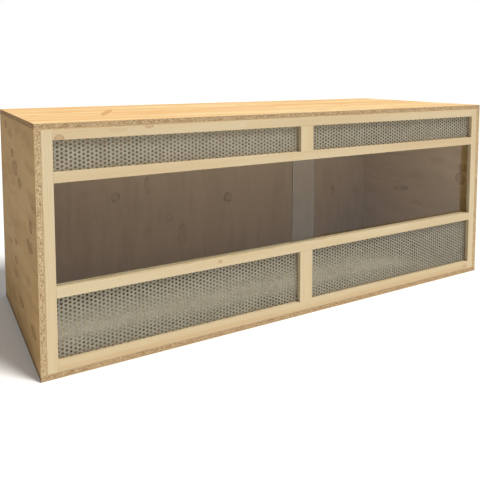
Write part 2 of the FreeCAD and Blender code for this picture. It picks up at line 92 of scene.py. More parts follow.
# How wood lies in the box: turns that bring a piece's grain to X, its width to Y, its thickness to Z.
QUARTER = math.radians(90)
LENGTHWAYS_FLAT = (0, 0, 0)
ACROSS_SIDE = (QUARTER, 0, QUARTER)
UPRIGHT_FRONT = (-QUARTER, -QUARTER, 0)
LENGTHWAYS_FRONT = (QUARTER, 0, 0)

# The log that pine is cut from: each piece has its own place along it, and each batten across it.
LOG_LENGTH = 9
LOG_WIDTH = 0.05

# The facing of the boards, and the strips that it is glued from.
FACING_THICKNESS = 0.4 * MM
STRIP_WIDTH = 96 * MM
FIRST_STRIP = 0.37
FACING_RINGS = 5 * MM
FACING_PITH_DEPTH = 30 * MM
FACING_WANDER = 0.16
SMALL_KNOT_SPACING = 75 * MM
SMALL_KNOT_RADIUS = 6 * MM

# Particle board: coarse chips in its core and fine ones under the facing.
COARSE_CHIP = 3.4 * MM
FINE_CHIP = 1.5 * MM
CHIP_FLATNESS = 2.6
CHIP_BEND = 1.6 * MM
CHIP_RELIEF = 0.35 * MM

# Battens, and the zigzag of the finger joints in them.
BATTEN_RINGS = 2.2 * MM
BATTEN_PITH_DEPTH = 20 * MM
BATTEN_WANDER = 0.05
FINGER_WIDTH = 2 * MM
FINGER_SLOPE = 2.5
TWO_TONE_EDGE = 1 * MM
BATTEN_RELIEF = 0.06 * MM

# The lines that rolling leaves in zinc, and the flecks of beech.
ROLLED_RELIEF = 0.02 * MM
FLECK_RELIEF = 0.05 * MM

# A knot: how uneven its outline is, and how close the rings in its heart stand.
KNOT_RAGGEDNESS = 0.7
KNOT_RINGS = 17

# How strongly each part of the figure colours the facing of a board, and a batten.
FACING_SHARES = dict(patch=0.8, strip=0.4, late=0.45, fibre=0.18, heart=0.65, rim=0.65)
BATTEN_SHARES = dict(patch=0.5, strip=0.5, late=0.4, fibre=0.15, heart=0.6, rim=0.5)

# How fine the figure of pine is: clouds in a metre, along the grain, across it and through it.
SLOW_WANDER = (1.6, 3, 3)
QUICK_WANDER = (9, 40, 40)
FIBRES = (30, 1400, 1400)
TONE_PATCHES = (2.2, 22, 22)
MOTTLES = (10, 42, 42)

# How fine the other patterns are: clouds in a metre to the right, to the back and up.
KNOT_OUTLINES = (36, 36, 36)
RIM_PATCHES = (60, 60, 60)
CHIP_BENDS = (240, 240, 240)
ZINC_CRYSTALS = 110
ZINC_CLOUDS = (14, 14, 14)
ROLLED_LINES = (60, 60, 2600)
WIPED_PATCHES = (7, 7, 3)
BEECH_FLECKS = (900, 300, 900)
BEECH_CLOUDS = (40, 40, 40)
SCREW_CLOUDS = (900, 900, 900)
FLOOR_CLOUDS = (3, 3, 3)

# How rough, how glossy and how metallic the finishes are, 0 to 1.
BOARD_ROUGHNESS = 0.65
BARE_CHIP_ROUGHNESS = 0.35
BOARD_GLOSS = 0.1
BATTEN_ROUGHNESS = 0.55
BATTEN_GLOSS = 0.3
ZINC_ROUGHNESS = 0.42
ZINC_METAL = 0.6
SCREW_ROUGHNESS = 0.25
DOWEL_ROUGHNESS = 0.5
FLOOR_ROUGHNESS = 0.9
GLASS_HAZE = 0.03
GLASS_INDEX = 1.33

# The studio: a large pale floor, even light from all round and one large soft lamp.
FLOOR_HALF_WIDTH = 40
FLOOR_DROP = 0.5 * MM
SKY_LIGHT = 0.35
SKY_SEEN = 1.0
SUN_STRENGTH = 3.5
SUN_SPREAD = 20
SUN_COLOUR = (1, 0.98, 0.95)
TO_THE_SUN = (0.33, -0.50, 0.80)

# The camera, as fitted to the edges in the photograph. Its angles are in degrees.
CAMERA_PLACE = (-0.7745, -1.3048, 0.5706)
CAMERA_TILT = 4.5
CAMERA_TURN = 30.114
SENSOR_WIDTH = 36
FOCAL_LENGTH = 42.683
LENS_SHIFT_ACROSS = -0.01823
LENS_SHIFT_UP = -0.25521

VECTOR = "NodeSocketVector"
NUMBER = "NodeSocketFloat"


# Building node trees

def tint(red, green, blue):
    """A colour given as a screen shows it, 0 to 255, in the light values that a shader works with."""
    def light(value):
        share = value / 255
        return share / 12.92 if share <= 0.04045 else ((share + 0.055) / 1.055) ** 2.4

    return (light(red), light(green), light(blue), 1)


def add(tree, kind, inputs=None, **settings):
    """One node. Inputs gives a value, or the output to link, for a socket's name or number."""
    node = tree.nodes.new(kind)
    for name, value in settings.items():
        setattr(node, name, value)
    for key, value in (inputs or {}).items():
        if isinstance(value, bpy.types.NodeSocket):
            tree.links.new(value, node.inputs[key])
        else:
            node.inputs[key].default_value = value
    return node


def calc(tree, operation, *values):
    """One sum on numbers."""
    return add(tree, "ShaderNodeMath", dict(enumerate(values)), operation=operation).outputs[0]


def plus(tree, first, second):
    """The sum of two numbers."""
    return calc(tree, "ADD", first, second)


def times(tree, first, second):
    """The product of two numbers."""
    return calc(tree, "MULTIPLY", first, second)


def vector_calc(tree, operation, *values):
    """One sum on vectors, which gives a vector."""
    return add(tree, "ShaderNodeVectorMath", dict(enumerate(values)), operation=operation).outputs[0]


def rise(tree, value, low, high):
    """0 up to low, 1 from high on, and a smooth rise between. High under low gives a fall."""
    inputs = {"Value": value, "From Min": low, "From Max": high}
    return add(tree, "ShaderNodeMapRange", inputs, interpolation_type="SMOOTHSTEP").outputs[0]


def blend(tree, share, first, second):
    """The first colour where share is 0, the second where it is 1."""
    return add(tree, "ShaderNodeMix", {0: share, 6: first, 7: second}, data_type="RGBA").outputs[2]


def noise(tree, place, scale, detail=2):
    """Cloudy noise, 0 to 1. Scale is how many clouds there are in a metre, along, across and through."""
    scaled = vector_calc(tree, "MULTIPLY", place, scale)
    inputs = {"Vector": scaled, "Scale": 1, "Detail": detail}
    return add(tree, "ShaderNodeTexNoise", inputs).outputs[0]


def chance(tree, number):
    """A value from 0 to 1 that belongs to a number."""
    return add(tree, "ShaderNodeTexWhiteNoise", {"W": number}, noise_dimensions="1D").outputs["Value"]


def split(tree, vector):
    """The three numbers of a vector."""
    return add(tree, "ShaderNodeSeparateXYZ", {0: vector}).outputs


def join(tree, x, y, z):
    """A vector of three numbers."""
    return add(tree, "ShaderNodeCombineXYZ", {0: x, 1: y, 2: z}).outputs[0]


def effect(name, given, made):
    """An empty shader group: its tree, the sockets that it is given and the sockets that it puts out."""
    tree = bpy.data.node_groups.new(name, "ShaderNodeTree")
    for label, kind in given.items():
        tree.interface.new_socket(label, in_out="INPUT", socket_type=kind)
    for label in made:
        tree.interface.new_socket(label, in_out="OUTPUT", socket_type=NUMBER)
    start = tree.nodes.new("NodeGroupInput").outputs
    end = tree.nodes.new("NodeGroupOutput").inputs
    return tree, start, end


def use(tree, group, inputs):
    """One use of a shared effect, as its outputs."""
    return add(tree, "ShaderNodeGroup", inputs, node_tree=group).outputs


# Effects that several finishes share

def knot_shape(tree, place, distance, end):
    """A knot whose rim lies at a distance of 1: its ringed heart, uneven rim, and the grain round it."""
    ragged = calc(tree, "SUBTRACT", noise(tree, place, KNOT_OUTLINES), 0.5)
    distance = calc(tree, "MULTIPLY_ADD", ragged, KNOT_RAGGEDNESS, distance)
    rings = calc(tree, "MULTIPLY_ADD", calc(tree, "SINE", times(tree, distance, KNOT_RINGS)), 0.16, 0.84)
    tree.links.new(times(tree, rise(tree, distance, 1.25, 0.7), rings), end["Heart"])
    off_rim = calc(tree, "ABSOLUTE", calc(tree, "SUBTRACT", distance, 1))
    heavy = rise(tree, noise(tree, place, RIM_PATCHES, 1), 0.35, 0.6)
    tree.links.new(times(tree, rise(tree, off_rim, 0.3, 0.02), heavy), end["Rim"])
    fall = times(tree, calc(tree, "POWER", distance, 2), -0.35)
    tree.links.new(calc(tree, "EXPONENT", fall), end["Bend"])


def make_knot():
    """One knot at a place of its own, turned about the upright."""
    given = {"Place": VECTOR, "Centre": VECTOR, "Size": VECTOR, "Turn": NUMBER}
    tree, start, end = effect("Knot", given, ["Heart", "Rim", "Bend"])
    away = vector_calc(tree, "SUBTRACT", start["Place"], start["Centre"])
    turned = {"Vector": away, "Angle": start["Turn"]}
    away = add(tree, "ShaderNodeVectorRotate", turned, rotation_type="Z_AXIS").outputs[0]
    away = vector_calc(tree, "DIVIDE", away, start["Size"])
    distance = add(tree, "ShaderNodeVectorMath", {0: away}, operation="LENGTH").outputs["Value"]
    knot_shape(tree, start["Place"], distance, end)
    return tree


def make_scattered_knots():
    """Knots strewn over a board, at most one in each cell of the given spacing."""
    given = {"Place": VECTOR, "Spacing": NUMBER, "Size": NUMBER, "Share": NUMBER}
    tree, start, end = effect("Scattered knots", given, ["Heart", "Rim", "Bend"])
    along, across, _ = split(tree, start["Place"])
    flat = join(tree, times(tree, along, 0.5), across, 0)
    density = calc(tree, "DIVIDE", 1, start["Spacing"])
    inputs = {"Vector": flat, "Scale": density, "Randomness": 0.8}
    cells = add(tree, "ShaderNodeTexVoronoi", inputs, voronoi_dimensions="2D").outputs
    luck, growth, _ = split(tree, cells["Color"])
    far_off = times(tree, calc(tree, "GREATER_THAN", luck, start["Share"]), 100)
    radius = times(tree, start["Size"], plus(tree, 0.5, growth))
    distance = calc(tree, "DIVIDE", times(tree, cells["Distance"], start["Spacing"]), radius)
    knot_shape(tree, start["Place"], plus(tree, distance, far_off), end)
    return tree


def make_pine_figure():
    """Pine on a cut face: late rings that wander, fine fibres, slow patches of tone and blotches."""
    given = {"Place": VECTOR, "Bend": NUMBER, "Ring Spacing": NUMBER, "Pith Depth": NUMBER, "Wander": NUMBER}
    tree, start, end = effect("Pine figure", given, ["Latewood", "Fibre", "Patch", "Mottle"])
    place = start["Place"]
    _, across, _ = split(tree, place)
    slow = calc(tree, "SUBTRACT", noise(tree, place, SLOW_WANDER, 1), 0.5)
    quick = calc(tree, "SUBTRACT", noise(tree, place, QUICK_WANDER), 0.5)
    slow = times(tree, slow, start["Wander"])
    quick = times(tree, quick, times(tree, start["Wander"], 0.08))
    side = plus(tree, across, plus(tree, slow, quick))
    squares = plus(tree, calc(tree, "POWER", side, 2), calc(tree, "POWER", start["Pith Depth"], 2))
    rings = calc(tree, "DIVIDE", calc(tree, "SQRT", squares), start["Ring Spacing"])
    rings = plus(tree, rings, start["Bend"])
    part = calc(tree, "FRACT", rings)
    growth = times(tree, rise(tree, part, 0.3, 0.85), rise(tree, part, 1, 0.9))
    year = chance(tree, calc(tree, "FLOOR", rings))
    strength = plus(tree, times(tree, year, 0.7), 0.3)
    tree.links.new(times(tree, growth, strength), end["Latewood"])
    tree.links.new(noise(tree, place, FIBRES), end["Fibre"])
    tree.links.new(noise(tree, place, TONE_PATCHES, 3), end["Patch"])
    tree.links.new(noise(tree, place, MOTTLES, 3), end["Mottle"])
    return tree


def make_chips():
    """The chips of particle board, flat and packed: one tone for each, and the gaps between them."""
    given = {"Place": VECTOR, "Chip": NUMBER}
    tree, start, end = effect("Wood chips", given, ["Tone", "Gap"])
    density = calc(tree, "DIVIDE", 1, start["Chip"])
    bent = times(tree, noise(tree, start["Place"], CHIP_BENDS), CHIP_BEND)
    bent = vector_calc(tree, "ADD", start["Place"], join(tree, bent, bent, bent))
    densities = join(tree, density, density, times(tree, density, CHIP_FLATNESS))
    inputs = {"Vector": vector_calc(tree, "MULTIPLY", bent, densities), "Scale": 1}
    cells = add(tree, "ShaderNodeTexVoronoi", inputs).outputs
    tone, _, _ = split(tree, cells["Color"])
    tree.links.new(tone, end["Tone"])
    tree.links.new(rise(tree, cells["Distance"], 0.45, 0.8), end["Gap"])
    return tree


def make_spangle():
    """Zinc on a sheet: crystals of their own tone, and the fine lines of the rolling."""
    tree, start, end = effect("Zinc spangle", {"Place": VECTOR}, ["Crystal", "Rolled"])
    inputs = {"Vector": start["Place"], "Scale": ZINC_CRYSTALS, "Detail": 1}
    cells = add(tree, "ShaderNodeTexVoronoi", inputs, distance="MANHATTAN").outputs
    tone, _, _ = split(tree, cells["Color"])
    cloud = noise(tree, start["Place"], ZINC_CLOUDS, 3)
    tree.links.new(plus(tree, times(tree, tone, 0.5), times(tree, cloud, 0.5)), end["Crystal"])
    tree.links.new(noise(tree, start["Place"], ROLLED_LINES), end["Rolled"])
    return tree


KNOT = make_knot()
SCATTERED_KNOTS = make_scattered_knots()
PINE_FIGURE = make_pine_figure()
CHIPS = make_chips()
SPANGLE = make_spangle()


# Colours

# Facings: pale wood, warm wood, late rings, the heart of a knot and its rim. All boards carry the same pine
# facing; the left, back and bottom boards get darker copies of its tones as painted shade, and the right
# board a paler copy than the left as painted light.
TOP_FACING = (
    tint(242, 221, 168), tint(231, 187, 131), tint(218, 158, 98), tint(196, 140, 84), tint(160, 106, 62),
)
# The left board's tones are darker than the pine facing is: painted shade for the left side, which the lamp
# leaves in shade.
LEFT_FACING_PAINTED_SHADE = (
    tint(184, 152, 104), tint(172, 138, 90), tint(152, 116, 72), tint(128, 94, 54), tint(96, 66, 36),
)
# The right board's tones are paler than the left board's: painted light for its inner face, which lies in
# shade inside the box.
RIGHT_FACING_PAINTED_LIGHT = (
    tint(212, 182, 136), tint(200, 168, 120), tint(178, 144, 98), tint(162, 124, 80), tint(122, 84, 50),
)
# The back board's tones are darker and duller than the pine facing is: painted shade for the inside of the
# box.
INNER_FACING_PAINTED_SHADE = (
    tint(220, 194, 160), tint(208, 178, 141), tint(186, 152, 117), tint(194, 160, 123), tint(104, 74, 48),
)
# The bottom board's tones are darker than the pine facing is: painted shade for the floor inside the box,
# seen through the glass and the holes.
FLOOR_FACING_PAINTED_SHADE = (
    tint(206, 196, 170), tint(194, 178, 148), tint(168, 146, 114), tint(140, 112, 80), tint(108, 80, 54),
)

# Chips, from dark bark through brown to pale wood: each tone with the share of the chips below it.
CHIP_TONES = [
    (0, tint(122, 98, 68)),
    (0.12, tint(158, 130, 94)),
    (0.35, tint(184, 160, 124)),
    (0.8, tint(198, 175, 139)),
    (1, tint(212, 190, 152)),
]
CHIP_GAP = tint(98, 74, 48)
DARK_BROWN_CHIP = tint(132, 96, 58)

PALE_BATTEN = tint(204, 193, 162)
WARM_BATTEN = tint(191, 168, 131)
LATE_BATTEN = tint(174, 141, 97)
FIBRE_BATTEN = tint(172, 145, 104)
KNOT_HEART = tint(158, 118, 80)
KNOT_RIM = tint(120, 80, 50)

PALE_BEECH = tint(226, 192, 148)
WARM_BEECH = tint(212, 170, 124)
BEECH_FLECK = tint(166, 116, 74)

# Zinc: its dark crystals and its pale ones. The lower sheets get a darker copy of the same zinc, painted
# shade for the dimmer light that they catch.
UPPER_ZINC = (tint(136, 131, 115), tint(162, 157, 141))
LOWER_ZINC_PAINTED_SHADE = (tint(127, 123, 109), tint(151, 147, 133))
SCREW_ZINC = (tint(176, 176, 172), tint(216, 216, 212))

GLASS_TINT = (0.93, 0.95, 0.94, 1)
GLASS_SHADE = (0.9, 0.92, 0.91, 1)
FLOOR_TONES = (tint(246, 246, 245), tint(248, 248, 247))


# Finishes

def finish(name):
    """A new material: its tree, its shader and where a point of the piece lies."""
    material = bpy.data.materials.new(name)
    material.use_nodes = True
    tree = material.node_tree
    shader = tree.nodes["Principled BSDF"]
    place = tree.nodes.new("ShaderNodeTexCoord").outputs["Object"]
    return material, tree, shader, place


def along_the_grain(tree, place, middle, lie):
    """The place on one piece of wood: from its middle, along the grain, across it and through it."""
    inputs = {"Vector": place, "Location": middle, "Rotation": lie}
    return add(tree, "ShaderNodeMapping", inputs, vector_type="TEXTURE").outputs[0]


def relief(tree, shader, height, depth):
    """Lets the light see a height of 0 to 1 as that depth."""
    bump = add(tree, "ShaderNodeBump", {"Height": height, "Distance": depth, "Strength": 1})
    tree.links.new(bump.outputs["Normal"], shader.inputs["Normal"])


def placed_knots(tree, place, knots):
    """Knots at known places on a piece: how much heart, rim and bend they give together."""
    heart, rim, bend = 0, 0, 0
    for known in knots:
        made = use(tree, KNOT, {"Place": place, **known["shape"]})
        heart = calc(tree, "MAXIMUM", heart, times(tree, made["Heart"], known["darkness"]))
        rim = calc(tree, "MAXIMUM", rim, times(tree, made["Rim"], known["darkness"]))
        bend = plus(tree, bend, made["Bend"])
    return heart, rim, bend


def pine_facing(tree, place, wood, tones, knots, knot_share, streaks, mottling):
    """Pine in glued strips, each from another part of the log: its colour, fibres and late rings."""
    along, across, through = split(tree, wood)
    strip = calc(tree, "FLOOR", plus(tree, calc(tree, "DIVIDE", across, STRIP_WIDTH), FIRST_STRIP))
    own = chance(tree, strip)
    moved = join(tree, plus(tree, along, times(tree, own, LOG_LENGTH)), across, through)
    strewn = use(tree, SCATTERED_KNOTS, {
        "Place": moved,
        "Spacing": SMALL_KNOT_SPACING,
        "Size": SMALL_KNOT_RADIUS,
        "Share": knot_share,
    })
    heart, rim, bend = placed_knots(tree, place, knots)
    heart = calc(tree, "MAXIMUM", heart, strewn["Heart"])
    rim = calc(tree, "MAXIMUM", rim, strewn["Rim"])
    figure = use(tree, PINE_FIGURE, {
        "Place": moved,
        "Bend": times(tree, plus(tree, bend, strewn["Bend"]), 2.5),
        "Ring Spacing": FACING_RINGS,
        "Pith Depth": FACING_PITH_DEPTH,
        "Wander": FACING_WANDER,
    })

    pale, warm, late, knot_heart, knot_rim = tones
    share = FACING_SHARES
    patch = times(tree, rise(tree, figure["Patch"], 0.38, 0.62), share["patch"] * streaks)
    warmth = calc(tree, "MULTIPLY_ADD", own, share["strip"] * streaks, patch)
    colour = blend(tree, warmth, pale, warm)
    blotch = rise(tree, figure["Mottle"], 0.48, 0.68)
    colour = blend(tree, times(tree, blotch, mottling), colour, late)
    colour = blend(tree, times(tree, figure["Latewood"], share["late"] * streaks), colour, late)
    fibre = rise(tree, figure["Fibre"], 0.25, 0.75)
    colour = blend(tree, times(tree, fibre, share["fibre"]), colour, late)
    colour = blend(tree, times(tree, heart, share["heart"]), colour, knot_heart)
    colour = blend(tree, times(tree, rim, share["rim"]), colour, knot_rim)
    return colour, fibre, figure["Latewood"]


def chip_colour(tree, chips):
    """The tone of each chip, darker in the gaps."""
    ramp = add(tree, "ShaderNodeValToRGB", {"Fac": chips["Tone"]})
    stops = ramp.color_ramp
    stops.interpolation = "LINEAR"
    for stop, (position, colour) in zip(stops.elements, (CHIP_TONES[0], CHIP_TONES[-1])):
        stop.position = position
        stop.color = colour
    for position, colour in CHIP_TONES[1:-1]:
        stops.elements.new(position).color = colour
    return blend(tree, times(tree, chips["Gap"], 0.5), ramp.outputs["Color"], CHIP_GAP)


def bare_chips(tree, wood, half, half_length, edge_brown_share, end_brown_share):
    """Sawn particle board: its colour, and how deep the gaps between its chips are."""
    along, _, through = split(tree, wood)
    coarse = use(tree, CHIPS, {"Place": wood, "Chip": COARSE_CHIP})
    fine = use(tree, CHIPS, {"Place": wood, "Chip": FINE_CHIP})
    core = rise(tree, calc(tree, "ABSOLUTE", through), half * 0.75, half * 0.4)
    chips = blend(tree, core, chip_colour(tree, fine), chip_colour(tree, coarse))
    sawn_end = calc(tree, "GREATER_THAN", calc(tree, "ABSOLUTE", along), half_length - FACING_THICKNESS)
    # The chips are darkened towards brown at every edge, and further at the two ends.
    brown_share = calc(tree, "MULTIPLY_ADD", sawn_end, end_brown_share, edge_brown_share)
    gaps = plus(tree, times(tree, coarse["Gap"], core), times(tree, fine["Gap"], 0.4))
    return blend(tree, brown_share, chips, DARK_BROWN_CHIP), gaps


def faced_board(node, lie, tones, knots=(), knot_share=0.2, streaks=1, mottling=0.45,
                edge_brown_share=0, end_brown_share=0):
    """Particle board: a pine facing on its two wide sides, and bare chips at its edges.

    Knot_share, streaks and mottling say how much of each the facing has. The last two arguments say
    how far the chips are darkened to brown at the edges, and how much further at the two ends.
    """
    low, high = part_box(node)
    half = min(high - low) / 2
    half_length = max(high - low) / 2
    material, tree, shader, place = finish("faced_board_" + node)
    wood = along_the_grain(tree, place, (low + high) / 2, lie)
    _, _, through = split(tree, wood)
    facing, fibre, latewood = pine_facing(tree, place, wood, tones, knots, knot_share, streaks, mottling)
    chips, gaps = bare_chips(tree, wood, half, half_length, edge_brown_share, end_brown_share)

    faced = calc(tree, "GREATER_THAN", calc(tree, "ABSOLUTE", through), half - FACING_THICKNESS)
    bare = calc(tree, "SUBTRACT", 1, faced)
    tree.links.new(blend(tree, faced, chips, facing), shader.inputs["Base Color"])
    dullness = plus(tree, times(tree, bare, BARE_CHIP_ROUGHNESS), times(tree, fibre, 0.08))
    tree.links.new(plus(tree, BOARD_ROUGHNESS, dullness), shader.inputs["Roughness"])
    shader.inputs["Specular IOR Level"].default_value = BOARD_GLOSS
    rough = times(tree, calc(tree, "SUBTRACT", 1, gaps), bare)
    grain = times(tree, plus(tree, fibre, latewood), 0.06)
    smooth = times(tree, plus(tree, 1, grain), faced)
    relief(tree, shader, plus(tree, rough, smooth), CHIP_RELIEF)
    return material


def batten(node, lie, seed, knots=(), seams=(), two_tone=0):
    """A planed pine batten.

    Seed picks the wood. Seams are the finger joints along it, each with other wood beyond it, and
    two_tone is how much warmer one half of its width is than the other.
    """
    low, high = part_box(node)
    material, tree, shader, place = finish("pine_" + node)
    wood = along_the_grain(tree, place, (low + high) / 2, lie)
    along, across, through = split(tree, wood)

    zigzag = times(tree, calc(tree, "PINGPONG", across, FINGER_WIDTH), FINGER_SLOPE)
    length = plus(tree, along, zigzag)
    stretch = seed
    for seam in seams:
        stretch = plus(tree, stretch, calc(tree, "GREATER_THAN", length, seam))
    own = chance(tree, stretch)
    log_along = plus(tree, along, times(tree, own, LOG_LENGTH))
    log_across = plus(tree, across, times(tree, own, LOG_WIDTH))
    moved = join(tree, log_along, log_across, through)
    heart, rim, bend = placed_knots(tree, place, knots)
    figure = use(tree, PINE_FIGURE, {
        "Place": moved,
        "Bend": times(tree, bend, 2),
        "Ring Spacing": BATTEN_RINGS,
        "Pith Depth": BATTEN_PITH_DEPTH,
        "Wander": BATTEN_WANDER,
    })

    share = BATTEN_SHARES
    patch = rise(tree, figure["Patch"], 0.3, 0.75)
    warmth = plus(tree, times(tree, own, share["strip"]), times(tree, patch, share["patch"]))
    if two_tone:
        lower_half = rise(tree, across, TWO_TONE_EDGE, -TWO_TONE_EDGE)
        warmth = plus(tree, warmth, times(tree, lower_half, two_tone))
    colour = blend(tree, warmth, PALE_BATTEN, WARM_BATTEN)
    colour = blend(tree, times(tree, figure["Latewood"], share["late"]), colour, LATE_BATTEN)
    fibre = rise(tree, figure["Fibre"], 0.25, 0.75)
    colour = blend(tree, times(tree, fibre, share["fibre"]), colour, FIBRE_BATTEN)
    colour = blend(tree, times(tree, heart, share["heart"]), colour, KNOT_HEART)
    colour = blend(tree, times(tree, rim, share["rim"]), colour, KNOT_RIM)
    tree.links.new(colour, shader.inputs["Base Color"])
    tree.links.new(plus(tree, BATTEN_ROUGHNESS, times(tree, fibre, 0.12)), shader.inputs["Roughness"])
    shader.inputs["Specular IOR Level"].default_value = BATTEN_GLOSS
    relief(tree, shader, plus(tree, times(tree, fibre, 0.5), figure["Latewood"]), BATTEN_RELIEF)
    return material


def zinc_sheet(row, tones):
    """Galvanised steel that has gone dull."""
    material, tree, shader, place = finish("galvanised_sheet_" + row)
    zinc = use(tree, SPANGLE, {"Place": place})
    tree.links.new(blend(tree, zinc["Crystal"], *tones), shader.inputs["Base Color"])
    shader.inputs["Metallic"].default_value = ZINC_METAL
    roughness = plus(tree, ZINC_ROUGHNESS, times(tree, zinc["Rolled"], 0.15))
    tree.links.new(roughness, shader.inputs["Roughness"])
    relief(tree, shader, zinc["Rolled"], ROLLED_RELIEF)
    return material


def pane_glass():
    """Clear glass that lets light through to the wood, with a faint haze where it has been wiped."""
    material, tree, shader, place = finish("pane_glass")
    shader.inputs["Base Color"].default_value = GLASS_TINT
    shader.inputs["Transmission Weight"].default_value = 1
    shader.inputs["IOR"].default_value = GLASS_INDEX
    wiped = rise(tree, noise(tree, place, WIPED_PATCHES, 3), 0.45, 0.8)
    tree.links.new(times(tree, wiped, GLASS_HAZE), shader.inputs["Roughness"])
    clear = add(tree, "ShaderNodeBsdfTransparent", {"Color": GLASS_SHADE})
    ray = tree.nodes.new("ShaderNodeLightPath").outputs
    unseen = calc(tree, "MAXIMUM", ray["Is Shadow Ray"], ray["Is Diffuse Ray"])
    both = {0: unseen, 1: shader.outputs[0], 2: clear.outputs[0]}
    surface = add(tree, "ShaderNodeMixShader", both).outputs[0]
    tree.links.new(surface, tree.nodes["Material Output"].inputs["Surface"])
    return material


def beech():
    """Dowel rod: pale wood with short dark flecks."""
    material, tree, shader, place = finish("dowel_beech")
    fleck = rise(tree, noise(tree, place, BEECH_FLECKS), 0.55, 0.75)
    colour = blend(tree, noise(tree, place, BEECH_CLOUDS), PALE_BEECH, WARM_BEECH)
    colour = blend(tree, times(tree, fleck, 0.5), colour, BEECH_FLECK)
    tree.links.new(colour, shader.inputs["Base Color"])
    tree.links.new(plus(tree, DOWEL_ROUGHNESS, times(tree, fleck, 0.2)), shader.inputs["Roughness"])
    relief(tree, shader, fleck, FLECK_RELIEF)
    return material


def zinc_screw():
    """Bright zinc plating with a slight cloud."""
    material, tree, shader, place = finish("screw_zinc")
    cloud = noise(tree, place, SCREW_CLOUDS, 3)
    tree.links.new(blend(tree, cloud, *SCREW_ZINC), shader.inputs["Base Color"])
    shader.inputs["Metallic"].default_value = 1
    tree.links.new(plus(tree, SCREW_ROUGHNESS, times(tree, cloud, 0.2)), shader.inputs["Roughness"])
    return material


def dress(node, material):
    """Gives a CAD node its finish."""
    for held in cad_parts[node].material_slots:
        held.material = material


# The perforated sheets

def hole_grid(tree, given, index):
    """The middles of the holes that lie inside the opening, as points.

    The first column is filled, then the next, each from one row under the opening on.
    """
    column = calc(tree, "FLOOR", calc(tree, "DIVIDE", index, given["Rows"]))
    row = calc(tree, "SUBTRACT", calc(tree, "MODULO", index, given["Rows"]), 1)
    odd = times(tree, calc(tree, "MODULO", column, 2), 0.5)
    across = calc(tree, "MULTIPLY_ADD", column, given["Pitch"], given["First Hole Across"])
    up = calc(tree, "MULTIPLY_ADD", plus(tree, row, odd), given["Pitch"], given["First Hole Up"])
    middle = join(tree, plus(tree, across, given["Opening Left"]), plus(tree, up, given["Opening Foot"]), 0)
    grid = {"Count": times(tree, given["Columns"], given["Rows"]), "Position": middle}
    points = add(tree, "GeometryNodePoints", grid).outputs[0]
    x, y, _ = split(tree, tree.nodes.new("GeometryNodeInputPosition").outputs[0])
    outside = calc(tree, "LESS_THAN", x, given["Opening Left"])
    for beyond in [
        calc(tree, "GREATER_THAN", x, given["Opening Right"]),
        calc(tree, "LESS_THAN", y, given["Opening Foot"]),
        calc(tree, "GREATER_THAN", y, given["Opening Head"]),
    ]:
        outside = calc(tree, "MAXIMUM", outside, beyond)
    return add(tree, "GeometryNodeDeleteGeometry", {0: points, 1: outside}, domain="POINT").outputs[0]


def screw_row(tree, given, index):
    """The middles of the screw holes, as points: just outside the opening's foot and its head."""
    order = calc(tree, "MODULO", index, given["Screws per Edge"])
    edge = calc(tree, "FLOOR", calc(tree, "DIVIDE", index, given["Screws per Edge"]))
    left = plus(tree, given["Opening Left"], given["Screw Margin"])
    right = calc(tree, "SUBTRACT", given["Opening Right"], given["Screw Margin"])
    gaps = calc(tree, "SUBTRACT", given["Screws per Edge"], 1)
    step = calc(tree, "DIVIDE", calc(tree, "SUBTRACT", right, left), gaps)
    foot = calc(tree, "SUBTRACT", given["Opening Foot"], given["Screw Inset"])
    head = plus(tree, given["Opening Head"], given["Screw Inset"])
    across = calc(tree, "MULTIPLY_ADD", order, step, left)
    up = calc(tree, "MULTIPLY_ADD", edge, calc(tree, "SUBTRACT", head, foot), foot)
    row = {"Count": times(tree, given["Screws per Edge"], 2), "Position": join(tree, across, up, 0)}
    return add(tree, "GeometryNodePoints", row).outputs[0]


def circles(tree, points, radius, sides):
    """A circle round each point."""
    circle = add(tree, "GeometryNodeCurvePrimitiveCircle", {"Resolution": sides, "Radius": radius})
    placed = {"Points": points, "Instance": circle.outputs[0]}
    return add(tree, "GeometryNodeInstanceOnPoints", placed).outputs[0]


def together(tree, *pieces):
    """Several geometries as one."""
    joined = tree.nodes.new("GeometryNodeJoinGeometry")
    for piece in pieces:
        tree.links.new(piece, joined.inputs[0])
    return joined.outputs[0]


